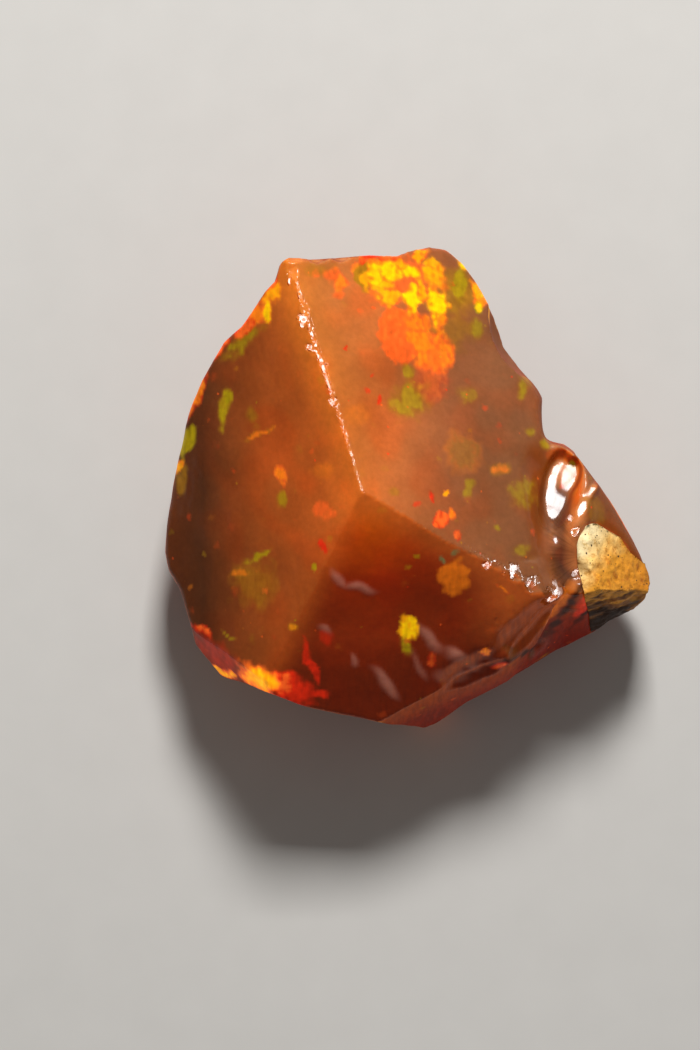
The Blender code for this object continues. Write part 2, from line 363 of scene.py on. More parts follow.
def skin(solid, grain, rounds, filling=None):
    """A fine skin over a solid, with its ridges kept sharp. A filling is joined to the solid first."""
    even = remeshed(joined(solid, filling) if filling else solid.copy(), grain)
    ridge_tree = tree_of(sharp_points(solid, grain / 3.0))
    surface = surface_of(solid)
    points = coordinates(even)
    distance = np.empty(len(points))
    for index, point in enumerate(points):
        ridge_point, _, distance[index] = ridge_tree.find(point)
        spot, _, _, off = surface.find_nearest(point)
        if off < SURFACE_PULL * grain:
            points[index] = ridge_point if distance[index] < RIDGE_PULL * grain else spot
    weight = EVENING * smooth_step(grain * RIDGE_KEPT[0], grain * RIDGE_KEPT[1], distance)
    points = relax(points, edge_ends(even), weight, rounds)
    set_coordinates(even, points)
    without_slivers(even, MERGED * grain)
    return even


# ------------------------------------------------------------------------------------- relief on the skins


def noise_at(points, pattern):
    """A pattern of noise at each point, from about -1 to 1."""
    spacing, offset = NOISE[pattern]
    shift = Vector((offset, offset, offset))
    return np.array([noise.noise(Vector(p) / spacing + shift) for p in points])


def ellipse_depth(x, y, middle_x, middle_y, half_x, half_y, turn):
    """How deep inside an ellipse each place is: 1 in its middle, 0 on its outline, less outside."""
    cosine, sine = math.cos(math.radians(turn)), math.sin(math.radians(turn))
    along = ((x - middle_x) * cosine + (y - middle_y) * sine) / half_x
    across = ((y - middle_y) * cosine - (x - middle_x) * sine) / half_y
    return 1.0 - np.hypot(along, across)


def ripple_sheen(points, normal):
    """How much of the ripples, with their relief and their pale painted sheen, lies on each point of the
    lower face.
    """
    x = points[:, 0] + 0.3 * noise_at(points, "ripple sheen x")
    y = points[:, 1] + 0.3 * noise_at(points, "ripple sheen y")
    result = np.zeros(len(points))
    for *ellipse, strength in RIPPLE_SHEENS:
        result = np.maximum(result, strength * smooth_step(-0.1, 0.8, ellipse_depth(x, y, *ellipse)))
    return result * face_weights(normal)["lower"]


def chipped(points, normal):
    """How chipped the stone is: in small places, and along its two sharp ridges towards their far ends."""
    result = np.zeros(len(points))
    for end, least, most in ((TOP_RIDGE_END, 0.5, 0.9), (RIGHT_RIDGE_END, 0.0, 0.6)):
        far, along = line_distance(points, CORNER, end)
        much = least + (most - least) * smooth_step(0.3, 0.75, along)
        result = np.maximum(result, smooth_step(0.27, 0.08, far) * much)
    ragged = 0.5 * noise_at(points, "chip outline")
    for x, y, reach in CHIPS:
        far = np.hypot(points[:, 0] - x, points[:, 1] - y) + ragged
        result = np.maximum(result, smooth_step(reach, 0.3 * reach, far))
    return result * smooth_step(7.0, 9.0, points[:, 2]) * smooth_step(0.25, 0.55, normal[:, 2])


def seen_at(points, x, y):
    """The point that is seen from above at a place: near it, and rather a high one than a low one."""
    return points[np.argmin(np.hypot(points[:, 0] - x, points[:, 1] - y) - 0.2 * points[:, 2])]


def laid_flat(points):
    """The points with the glassy patches of the shoulder laid flat."""
    points = points.copy()
    for x, y, *sizes in PATCHES:
        share = smooth_step(-0.35, 0.15, ellipse_depth(points[:, 0], points[:, 1], x, y, *sizes))
        share *= smooth_step(5.5, 7.0, points[:, 2])
        centre = seen_at(points, x, y)
        lean_x, lean_y, lean_z = PATCH_LEAN
        slope = (points[:, 0] - centre[0]) * lean_x + (points[:, 1] - centre[1]) * lean_y
        flat = centre[2] - slope / lean_z
        points[:, 2] += (flat - points[:, 2]) * share
    return points


def relief(points, normal):
    """How far each point of the opal's skin stands out from the solid."""
    height = WAVE_HEIGHT * noise_at(points, "waves") + RIPPLE_HEIGHT * noise_at(points, "ripples")
    height += RIPPLE_SHEEN_HEIGHT * ripple_sheen(points, normal)
    ridges = chipped(points, normal)
    near = np.flatnonzero(ridges > 0.0)
    flakes = smooth_step(-0.15, 0.25, noise_at(points[near], "chip flakes"))
    height[near] -= CHIP_DEPTH * ridges[near] * flakes
    return height


# ----------------------------------------------------------------------------------------- colours


# The opal's colours, with painted light and shade in them: each broad face has its own tone, which paints
# part of the light and shade that fall on it. The lower face is orange near the raised corner as painted
# light through the stone and deep red further off as painted shade. The left face is lighter near the corner
# and darker towards its far edge, painted light and shade. The ridges are lighter as painted light through
# the thin stone. The glow colours are a painted glow that stands in for the light that comes through it.
# Where there are stops, the colour changes with a measure in millimetres: how far left, how far right, how
# far from the raised corner or how high.
HONEY = srgb(196, 104, 42)
LEFT_BODY = ((2.0, srgb(216, 106, 34)), (5.5, srgb(188, 88, 30)), (9.0, srgb(164, 78, 28)),
             (12.5, srgb(82, 44, 22)), (15.0, srgb(98, 46, 20)))
RIGHT_BODY = ((-6.0, srgb(180, 106, 50)), (-2.0, srgb(198, 106, 50)), (2.6, srgb(146, 86, 52)),
              (6.0, srgb(132, 84, 54)), (9.0, srgb(138, 86, 56)))
LOWER_BODY = ((0.5, srgb(212, 92, 2)), (3.0, srgb(196, 74, 2)), (6.0, srgb(146, 40, 4)),
              (10.0, srgb(130, 44, 12)), (14.0, srgb(96, 30, 10)))
# The lower side's dark red is partly painted shade.
LOWER_SIDE_SHADED_BODY = srgb(78, 14, 1)
SHOULDER_TOP_BODY = srgb(186, 116, 68)
SHOULDER_FLANK_BODY = srgb(122, 60, 12)
SIDE_BODY = ((1.0, srgb(100, 30, 6)), (8.0, srgb(140, 56, 14)))
BACK_BODY = srgb(130, 54, 16)
TOP_RIDGE_BODY = srgb(236, 128, 36)
LEFT_RIDGE_BODY = srgb(176, 84, 26)
RIGHT_RIDGE_BODY = srgb(196, 100, 36)
LOWER_RIM_BODY = srgb(196, 94, 36)
# Painted shade in the shoulder's valley.
VALLEY_PAINTED_SHADE = srgb(84, 50, 36)
WALL_BODY = srgb(206, 126, 70)
CRACK_BODY = srgb(20, 5, 0)
# The pale painted sheen on the ripples of the lower face.
PAINTED_SHEEN = srgb(190, 126, 106)
HAZE_CHANGE = np.array((0.12, -0.06, -0.16))
# The painted glow: colours that the surface gives out, standing in for the light that comes through the
# stone.
LOWER_GLOW = ((0.5, srgb(132, 46, 0)), (4.0, srgb(96, 22, 0)), (8.0, srgb(70, 12, 0)),
              (14.0, srgb(84, 18, 0)))
LOWER_SIDE_GLOW = ((3.0, srgb(112, 14, 0)), (7.0, srgb(140, 34, 0)), (10.0, srgb(176, 74, 4)))
LEFT_GLOW = srgb(52, 18, 0)
SIDE_GLOW = srgb(110, 30, 0)
SHOULDER_FLANK_GLOW = srgb(60, 22, 0)

# The host rock's colours. The stops go from its inner corner outwards.
HOST_TOP = ((0.3, srgb(255, 230, 174)), (1.5, srgb(246, 196, 112)), (2.6, srgb(224, 150, 38)),
            (5.0, srgb(204, 126, 22)))
# Painted light: a bright ochre on the lower side just below its top, where that side is in shade.
HOST_PAINTED_LIGHT = srgb(250, 172, 64)
HOST_BROWN = srgb(140, 76, 12)
HOST_DARK = srgb(44, 18, 4)
HOST_PITS = srgb(66, 36, 8)
HOST_STAIN = (0.72, 0.58, 0.36, 1.0)

# The floor's paper, between two tones.
PAPER = (srgb(198, 195, 190), srgb(204, 201, 196))


def face_weights(normal):
    """How much each point belongs to each broad face, by the way it looks. What looks like none is side."""
    names = list(FACES)
    aims = np.array([FACES[name] for name in names])
    aims /= np.maximum(np.linalg.norm(aims, axis=1), 1e-9)[:, None]
    closeness = np.exp(FACE_SHARPNESS * (normal @ aims.T - 1.0))
    closeness[:, names.index("side")] = SIDE_CLOSENESS
    closeness /= closeness.sum(axis=1)[:, None]
    return dict(zip(names, closeness.T))


def blend_along(values, stops):
    """Colours along a line of values: stops are (value, colour)."""
    places = [place for place, _ in stops]
    colours = np.array([colour for _, colour in stops])
    return np.stack([np.interp(values, places, colours[:, i]) for i in range(3)], axis=1)


def mixed(first, second, share):
    """The first colour turned into the second by a share for each point."""
    return first + (second - first) * share[:, None]


def plain(colour, points):
    """The same colour for each point."""
    return np.broadcast_to(colour, points.shape)


def matt(normal):
    """How matt the stone is: its steep sides don't have the polish of the fresh broken faces."""
    return smooth_step(*STEEP, normal[:, 2])


def cracked(points):
    """How dark the cracks make each point."""
    frayed = 0.35 * noise_at(points, "crack outline")
    result = np.zeros(len(points))
    for start, end, reach in CRACKS:
        far, _ = line_distance(points[:, :2], start, end)
        result = np.maximum(result, CRACK_DARKNESS * smooth_step(reach, 0.1 * reach, far + frayed))
    return result * smooth_step(3.5, 7.5, points[:, 2])


def hackled(points):
    """How much of the hackles' fine streaks each point has: only the shoulder's valley has them."""
    far, _ = line_distance(points, *HACKLE_BAND)
    return smooth_step(1.1, 0.5, far)


def body_colours(points, normal):
    """The opal's colour under the play of colour, with painted light and shade: honey by the ridges as
    painted light through the thin stone, deep red as painted shade where it is in shade, a painted shade in
    the valley and a pale painted sheen on the ripples.
    """
    x, y, z = points.T
    weights = face_weights(normal)
    from_corner = np.linalg.norm(points - np.array(CORNER), axis=1)
    clouds = 0.65 * smooth_step(-0.05, 0.45, noise_at(points, "honey clouds"))
    colours = {
        "left": blend_along(-x, LEFT_BODY),
        "right": blend_along(x, RIGHT_BODY),
        "lower": blend_along(from_corner, LOWER_BODY),
        "lower_side": plain(LOWER_SIDE_SHADED_BODY, points),
        "shoulder_top": plain(SHOULDER_TOP_BODY, points),
        "shoulder_flank": plain(SHOULDER_FLANK_BODY, points),
        "side": mixed(blend_along(z, SIDE_BODY), HONEY, clouds),
        "back": mixed(plain(BACK_BODY, points), HONEY, clouds),
    }
    result = sum(colours[name] * weights[name][:, None] for name in FACES)
    haze = smooth_step(-0.1, 0.45, noise_at(points, "haze"))[:, None]
    result = result * (1.0 + haze * HAZE_CHANGE)
    lower = weights["lower"]
    far_top, along_top = line_distance(points, CORNER, TOP_RIDGE_END)
    far_left, _ = line_distance(points, CORNER, LEFT_RIDGE_END)
    far_right, _ = line_distance(points, CORNER, RIGHT_RIDGE_END)
    valley, _ = line_distance(points, *VALLEY)
    wall, _ = line_distance(points, *WALL)
    by_top_ridge = (0.25 + 0.5 * along_top) * np.exp(-((far_top / 1.6) ** 2))
    by_left_ridge = np.exp(-((far_left / 0.9) ** 2))
    by_right_ridge = np.exp(-((far_right / 1.3) ** 2))
    # Lighter by the ridges: painted light through the thin stone. The left face is darker towards the bottom.
    result = mixed(result, TOP_RIDGE_BODY, by_top_ridge * (1.0 - 0.7 * weights["right"]))
    result *= 1.0 - 0.20 * (weights["left"] * smooth_step(-1.0, -6.0, y))[:, None]
    result = mixed(result, LEFT_RIDGE_BODY, 0.6 * lower * by_left_ridge)
    result = mixed(result, RIGHT_RIDGE_BODY, 0.75 * lower * by_right_ridge)
    by_rim = 0.8 * lower * smooth_step(2.5, 7.0, x) * smooth_step(-11.0, -8.0, y)
    result = mixed(result, LOWER_RIM_BODY, by_rim)
    # Painted shade in the shoulder's valley.
    result = mixed(result, VALLEY_PAINTED_SHADE, 0.9 * smooth_step(1.4, 0.3, valley))
    result = mixed(result, WALL_BODY, 0.7 * smooth_step(0.9, 0.3, wall))
    result = mixed(result, CRACK_BODY, cracked(points))
    # A pale painted sheen on the ripples of the lower face.
    return mixed(result, PAINTED_SHEEN, 0.75 * ripple_sheen(points, normal))


def glow_colours(points, normal):
    """A painted glow that stands in for the light that comes through the stone: orange below the corner, and
    red round the lower sides.
    """
    from_corner = np.linalg.norm(points - np.array(CORNER), axis=1)
    weights = face_weights(normal)
    colours = {
        "lower": blend_along(from_corner, LOWER_GLOW),
        "lower_side": blend_along(points[:, 2], LOWER_SIDE_GLOW),
        "left": plain(LEFT_GLOW, points),
        "side": plain(SIDE_GLOW, points),
        "shoulder_flank": plain(SHOULDER_FLANK_GLOW, points),
    }
    result = sum(colours[name] * weights[name][:, None] for name in colours)
    return result * (1.0 - cracked(points))[:, None]


# The play of colour: what its flashes are made of, and how much of that goes into the body's colour. The
# flashes are also given out as a painted glow.
FLASH_COLOURS = {
    "yellow": srgb(255, 198, 4),
    "amber": srgb(254, 162, 8),
    "orange": srgb(250, 128, 20),
    "ember": srgb(248, 98, 32),
    "red": srgb(224, 40, 12),
    "green": srgb(166, 142, 8),
    "olive": srgb(160, 110, 18),
    "teal": srgb(70, 130, 80),
}
FLASH_IN_BODY = 0.72

# The flashes round the steep sides: the seed of their draw, how many they are, and the colours of heart and
# edge that they choose from.
SIDE_SEED = 21
SIDE_COUNT = 46
SIDE_COLOURS = (("orange", "ember"), ("green", "olive"), ("ember", "red"), ("olive", "olive"),
                ("amber", "orange"), ("red", "red"))

# The flashes that have their own place, each: its middle x and y in millimetres, half length, half width,
# turn in degrees from +X, the colours of its heart and of its edge, how strong it is and how soft its outline
# is. Later ones lie over earlier ones.
FLASHES = (
    # the glow under the petals of the upper right rim, and the dim olive round them
    (2.6, 12.0, 1.6, 1.5, 0, "olive", "olive", 0.70, 0.7),
    (2.3, 9.6, 1.6, 1.2, 0, "olive", "olive", 0.45, 0.8),
    (-0.5, 12.8, 2.6, 1.4, 0, "ember", "ember", 0.70, 0.6),
    # the large lobes
    (0.1, 9.9, 1.7, 1.1, 0, "orange", "ember", 0.90, 0.4),
    (1.4, 6.5, 0.9, 1.2, 0, "ember", "red", 0.35, 0.8),
    (1.7, 8.2, 1.1, 1.2, 15, "orange", "ember", 0.85, 0.4),
    (1.3, 7.7, 0.8, 0.8, 0, "ember", "ember", 0.60, 0.7),
    (-0.7, 9.4, 1.1, 1.6, 0, "ember", "ember", 0.95, 0.35),
    (-0.2, 8.3, 0.9, 0.8, 0, "ember", "ember", 0.90, 0.4),
    (0.9, 8.9, 0.9, 1.0, 0, "orange", "ember", 0.90, 0.5),
    (0.8, 7.8, 0.6, 0.5, 0, "orange", "ember", 0.60, 0.7),
    # the petals
    (-3.1, 13.3, 0.35, 0.40, 0, "orange", "ember", 0.70, 0.5),
    (-2.7, 12.7, 0.62, 0.90, -8, "olive", "olive", 0.95, 0.4),
    (-2.5, 12.5, 0.45, 0.70, -8, "amber", "olive", 0.85, 0.7),
    (-1.8, 12.8, 0.58, 1.10, 0, "yellow", "orange", 0.95, 0.4),
    (-1.1, 13.1, 0.60, 0.80, 10, "yellow", "orange", 1.00, 0.4),
    (-1.3, 12.2, 0.55, 0.55, 0, "amber", "orange", 0.95, 0.5),
    (-0.9, 11.5, 0.75, 0.62, 20, "amber", "ember", 0.95, 0.5),
    (0.2, 13.2, 0.95, 0.42, -32, "yellow", "orange", 1.00, 0.4),
    (-0.4, 13.8, 0.50, 0.26, -35, "amber", "orange", 0.90, 0.5),
    (0.3, 11.7, 0.62, 1.00, -5, "yellow", "orange", 1.00, 0.4),
    (0.9, 12.2, 0.40, 0.60, 0, "amber", "ember", 0.90, 0.5),
    (0.9, 14.2, 0.38, 0.50, 0, "amber", "ember", 0.95, 0.5),
    (1.5, 13.8, 0.45, 0.35, 0, "amber", "olive", 0.90, 0.6),
    (1.7, 13.0, 0.62, 0.72, 0, "amber", "orange", 0.90, 0.5),
    (1.5, 13.2, 0.35, 0.35, 0, "amber", "orange", 0.90, 0.7),
    (1.9, 11.0, 0.60, 1.20, 8, "yellow", "orange", 1.00, 0.4),
    (2.2, 10.3, 0.35, 0.50, 10, "orange", "ember", 0.80, 0.6),
    (-2.7, 13.9, 0.22, 0.38, 0, "ember", "red", 0.95, 0.4),
    (-2.2, 14.2, 0.50, 0.20, 0, "red", "red", 0.90, 0.5),
    (-1.1, 14.1, 0.60, 0.26, 5, "ember", "red", 0.90, 0.5),
    (-4.7, 12.8, 0.42, 0.38, 0, "ember", "ember", 0.75, 0.7),
    (-4.2, 12.4, 0.60, 0.42, 0, "orange", "ember", 0.80, 0.7),
    (-4.1, 11.8, 0.40, 0.30, 0, "ember", "ember", 0.75, 0.7),
    (-5.4, 12.9, 0.45, 0.40, 0, "ember", "olive", 0.50, 0.8),
    (3.2, 12.7, 0.45, 1.20, 0, "green", "olive", 0.70, 0.8),
    (3.4, 13.7, 0.45, 0.32, 0, "yellow", "amber", 0.90, 0.5),
    (4.4, 12.1, 0.34, 0.75, 25, "amber", "orange", 0.95, 0.4),
    (4.6, 11.5, 0.45, 0.28, 0, "orange", "ember", 0.85, 0.5),
    (4.4, 11.1, 0.25, 0.40, 0, "yellow", "green", 0.85, 0.5),
    (4.2, 9.8, 0.35, 0.85, 0, "green", "olive", 0.55, 0.8),
    # the right face
    (-5.5, 13.2, 0.80, 0.45, 0, "olive", "olive", 0.35, 0.8),
    (0.15, 5.2, 1.05, 1.15, 0, "green", "olive", 0.62, 0.8),
    (0.0, 7.1, 0.35, 0.42, 0, "green", "olive", 0.60, 0.6),
    (-3.1, 4.4, 0.90, 0.60, 0, "orange", "orange", 0.20, 0.9),
    (3.7, 5.5, 0.50, 0.55, 0, "green", "olive", 0.35, 0.8),
    (7.1, 6.1, 0.42, 0.68, 0, "green", "olive", 0.62, 0.8),
    (7.5, 3.5, 0.35, 0.28, 0, "green", "olive", 0.50, 0.7),
    (3.3, 2.1, 1.10, 1.10, 0, "olive", "orange", 0.30, 0.7),
    (5.5, 1.2, 0.60, 0.38, 12, "orange", "olive", 0.50, 0.8),
    (3.7, 0.0, 0.42, 0.42, 0, "green", "olive", 0.50, 0.7),
    (7.0, -0.4, 0.80, 0.85, 0, "green", "olive", 0.42, 0.9),
    (6.9, -3.8, 0.45, 0.45, 0, "green", "olive", 0.45, 0.8),
    (5.4, -2.4, 0.22, 0.22, 0, "green", "olive", 0.50, 0.7),
    (11.4, -1.4, 0.50, 0.90, 30, "olive", "olive", 0.35, 0.9),
    (10.2, 1.3, 0.16, 0.30, 0, "green", "green", 0.60, 0.6),
    (-0.8, -0.2, 0.28, 0.28, 0, "olive", "olive", 0.50, 0.7),
    (1.3, -0.6, 0.17, 0.34, 10, "red", "red", 0.85, 0.5),
    (2.35, -0.35, 0.14, 0.17, 0, "amber", "orange", 0.90, 0.5),
    (1.8, -1.9, 0.50, 0.50, 0, "ember", "red", 0.90, 0.5),
    (1.6, -2.1, 0.26, 0.22, 0, "ember", "red", 0.80, 0.6),
    (2.6, -1.6, 0.26, 0.36, 0, "orange", "ember", 0.85, 0.5),
    (3.0, -3.0, 0.22, 0.22, 0, "ember", "red", 0.70, 0.6),
    (0.6, -1.0, 0.18, 0.14, 0, "red", "red", 0.60, 0.6),
    (-3.8, 8.4, 0.12, 0.12, 0, "red", "red", 0.90, 0.5),
    (-1.8, 5.3, 0.15, 0.32, -15, "red", "red", 0.80, 0.5),
    (-2.0, 11.0, 0.16, 0.13, 0, "ember", "red", 0.90, 0.5),
    (-2.2, 6.7, 0.14, 0.12, 0, "red", "red", 0.70, 0.6),
    (-2.5, 5.9, 0.12, 0.14, 0, "red", "red", 0.60, 0.6),
    (8.5, 2.7, 0.25, 0.50, 0, "green", "olive", 0.60, 0.7),
    # the left face and its rim
    (-11.2, 4.9, 0.28, 1.20, -4, "green", "olive", 0.80, 0.7),
    (-11.1, 5.6, 0.30, 0.50, 0, "green", "olive", 0.80, 0.7),
    (-9.5, 4.4, 0.36, 0.46, 0, "olive", "olive", 0.60, 0.8),
    (-8.9, 3.3, 0.95, 0.13, 22, "orange", "olive", 0.55, 0.8),
    (-7.7, 0.75, 0.36, 0.62, 15, "orange", "ember", 0.80, 0.4),
    (-7.7, -0.9, 0.34, 0.44, 10, "green", "olive", 0.60, 0.7),
    (-5.2, -1.4, 0.42, 0.44, 0, "ember", "ember", 0.65, 0.6),
    (-4.6, -1.5, 0.22, 0.22, 0, "ember", "ember", 0.60, 0.6),
    (-5.2, 0.9, 0.60, 0.50, 0, "orange", "orange", 0.25, 0.9),
    (-9.2, -5.8, 1.25, 1.35, 0, "olive", "olive", 0.45, 0.7),
    (-9.1, -4.2, 0.85, 0.16, 27, "green", "olive", 0.75, 0.7),
    (-10.1, -5.3, 0.65, 0.22, 8, "orange", "olive", 0.45, 0.8),
    (-9.9, 9.0, 1.50, 0.45, 36, "green", "olive", 0.60, 0.8),
    (-8.2, 11.6, 1.05, 0.42, 42, "amber", "orange", 0.90, 0.6),
    (-8.3, 12.4, 0.30, 0.60, -30, "ember", "red", 0.85, 0.6),
    (-9.2, 10.5, 0.60, 0.80, -20, "orange", "ember", 0.90, 0.6),
    (-8.5, 10.6, 0.24, 0.75, 0, "yellow", "orange", 0.95, 0.4),
    (-9.9, 9.7, 0.85, 0.42, 42, "ember", "red", 0.90, 0.5),
    (-11.5, 8.4, 1.20, 0.26, 45, "ember", "red", 0.85, 0.6),
    (-12.9, 5.6, 0.28, 1.40, -22, "orange", "red", 0.70, 0.7),
    (-13.5, 2.8, 0.34, 1.00, -18, "green", "green", 0.90, 0.6),
    (-14.0, 1.4, 0.24, 0.40, -20, "amber", "orange", 0.85, 0.5),
    (-13.8, 0.4, 0.40, 0.70, -10, "olive", "olive", 0.60, 0.8),
    # the ridge between the left and the lower face
    (-5.2, -3.6, 0.20, 0.34, 20, "red", "red", 0.90, 0.4),
    (-5.65, -4.8, 0.16, 0.22, 20, "green", "green", 0.80, 0.5),
    (-6.9, -8.5, 0.26, 0.26, 0, "amber", "olive", 0.50, 0.8),
    # the lower face
    (2.8, -5.4, 0.98, 0.95, 0, "orange", "orange", 0.55, 0.35),
    (0.05, -8.5, 0.50, 0.66, 8, "yellow", "amber", 1.00, 0.35),
    (0.2, -8.2, 0.30, 0.35, 0, "yellow", "amber", 1.00, 0.5),
    (-0.1, -9.6, 0.34, 0.55, 0, "green", "olive", 0.80, 0.6),
    (4.7, -10.0, 0.32, 0.32, 0, "orange", "ember", 0.85, 0.4),
    (5.65, -10.8, 0.50, 0.30, 25, "ember", "red", 0.75, 0.6),
    (1.4, -10.5, 0.22, 0.34, 0, "ember", "red", 0.50, 0.8),
    (-6.2, -9.9, 0.20, 0.80, 8, "red", "red", 0.75, 0.6),
    (-5.7, -11.2, 0.20, 0.75, 22, "red", "red", 0.80, 0.6),
    (-4.9, -9.2, 0.36, 0.42, 0, "red", "red", 0.45, 0.8),
    (-5.3, -12.6, 0.36, 0.34, 0, "red", "red", 0.80, 0.6),
    (5.8, -6.1, 0.45, 0.08, -25, "orange", "ember", 0.60, 0.7),
    (2.1, -4.3, 0.14, 0.26, 15, "teal", "teal", 0.60, 0.7),
    (2.8, -3.9, 0.20, 0.16, 0, "teal", "teal", 0.45, 0.8),
    (0.6, -4.0, 0.14, 0.14, 0, "green", "green", 0.50, 0.8),
    # the lower left rim
    (-7.2, -12.2, 1.50, 0.85, -18, "red", "red", 0.75, 0.7),
    (-11.6, -10.2, 1.60, 0.70, -48, "red", "red", 0.28, 0.9),
    (-7.9, -12.0, 0.90, 0.60, -18, "ember", "red", 0.85, 0.7),
    (-9.0, -11.6, 1.25, 0.75, -20, "orange", "ember", 1.00, 0.7),
    (-8.9, -11.6, 0.90, 0.50, -20, "amber", "amber", 1.00, 0.8),
    (-11.3, -11.3, 0.85, 0.26, -12, "amber", "ember", 0.95, 0.6),
    (-12.5, -8.7, 0.80, 0.26, -30, "ember", "red", 0.85, 0.6),
    (-10.9, -8.9, 0.50, 0.10, -25, "green", "olive", 0.50, 0.8),
    # the side below the lower face
    (9.3, -7.0, 1.50, 0.30, 55, "orange", "orange", 0.35, 0.9),
    (11.0, -7.0, 0.35, 1.10, -28, "red", "red", 0.40, 0.9),
    # outside the right rim
    (9.3, 9.0, 1.2, 1.2, 0, "ember", "red", 0.50, 0.7),
)


def play_of_colour(points, normal):
    """The colour of the flashes at each point, weakened by how much of the point they cover, and that cover.

    Their outlines are bent and frayed by noise. The flashes of the list lie on what is seen from above and
    run only a little way down the sides, which get flashes of their own by chance.
    """
    x, y, z = points.T
    x = x + 0.28 * noise_at(points, "flash x")
    y = y + 0.28 * noise_at(points, "flash y")
    frayed = 0.45 * noise_at(points, "flash outline") + 0.30 * noise_at(points, "flash fringe")
    frayed *= 0.35 + 0.65 * smooth_step(0.15, 0.6, normal[:, 2])
    grain = noise_at(points, "petal grain")
    upward = smooth_step(-0.3, 0.15, normal[:, 2]) * smooth_step(1.0, 2.5, z)
    colour = np.zeros_like(points)
    cover = np.zeros(len(points))

    def lay(inside, heart, edge, power, soft):
        """Lays one flash over those before it. Inside is above 0 within its outline."""
        near = np.flatnonzero((inside > -0.5 * soft) & (power > 0.0))
        share = (power[near] * smooth_step(-0.5 * soft, 0.5 * soft, inside[near]))[:, None]
        core = smooth_step(-0.1, 0.5, inside[near] + 0.5 * grain[near])
        petal = mixed(FLASH_COLOURS[edge], FLASH_COLOURS[heart], core) * (1.0 + 0.3 * grain[near])[:, None]
        colour[near] = colour[near] * (1.0 - share) + petal * share
        cover[near] = cover[near] * (1.0 - share[:, 0]) + share[:, 0]

    for *ellipse, heart, edge, power, soft in FLASHES:
        reach = 1.5 * max(ellipse[2:4])
        deep = np.maximum(np.abs(z - seen_at(points, *ellipse[:2])[2]) - reach, 0.0) / reach
        inside = ellipse_depth(x, y, *ellipse) + frayed * min(1.0, 0.9 / min(ellipse[2:4])) - deep
        lay(inside, heart, edge, power * upward, soft)

    chance = random.Random(SIDE_SEED)
    steep = smooth_step(0.30, 0.05, normal[:, 2])
    bent = np.stack([x, y, z + 0.5 * noise_at(points, "side flash z")], axis=1)
    for _ in range(SIDE_COUNT):
        turn, height = chance.uniform(0.0, 2.0 * math.pi), chance.uniform(1.0, 10.0)
        size, power = chance.uniform(0.3, 1.3), chance.uniform(0.25, 0.7)
        heart, edge = chance.choice(SIDE_COLOURS)
        aim = np.array((STONE_REACH * math.cos(turn), STONE_REACH * math.sin(turn), height))
        middle = points[np.argmin(np.linalg.norm(points - aim, axis=1))]
        off = (bent - middle) / (size, size, 0.75 * size)
        lay(1.0 - np.linalg.norm(off, axis=1) + 2.6 * frayed, heart, edge, power * steep, 0.7)
    return colour, cover


def store(mesh, name, values):
    """Keeps one value or one colour for each point of a mesh."""
    if values.ndim == 1:
        layer = mesh.attributes.new(name, "FLOAT", "POINT")
        layer.data.foreach_set("value", np.ascontiguousarray(values, dtype=np.float32))
    else:
        layer = mesh.attributes.new(name, "FLOAT_COLOR", "POINT")
        full = np.ones((len(values), 4), dtype=np.float32)
        full[:, :3] = values
        layer.data.foreach_set("color", full.ravel())


# ---------------------------------------------------------------------------------------- materials


# The small flashes in single grains: size of the grains in millimetres, from which draw (0 to 1) on a grain
# has one, and how strong it is.
SPARKS = ((1.30, 0.72, 0.14), (0.95, 0.90, 0.35), (0.40, 0.955, 0.7))
# How much of the sparks goes into the painted glow, and how strong that glow is.
SPARK_IN_GLOW = 0.6
GLOW_STRENGTH = 0.35

# The flakes where the stone is chipped: their size in millimetres, and how differently they lean.
FLAKE_SIZE = 0.26
FLAKE_TILT = (0.32, 0.32, 0.32)

# The hackles: how many streaks there are to a radian, and how they change along their length.
HACKLE_STREAKS = 16.0
HACKLE_CHANGE = 0.7

# How much rougher the steep sides are than the broken faces.
SIDE_ROUGHNESS = 0.38


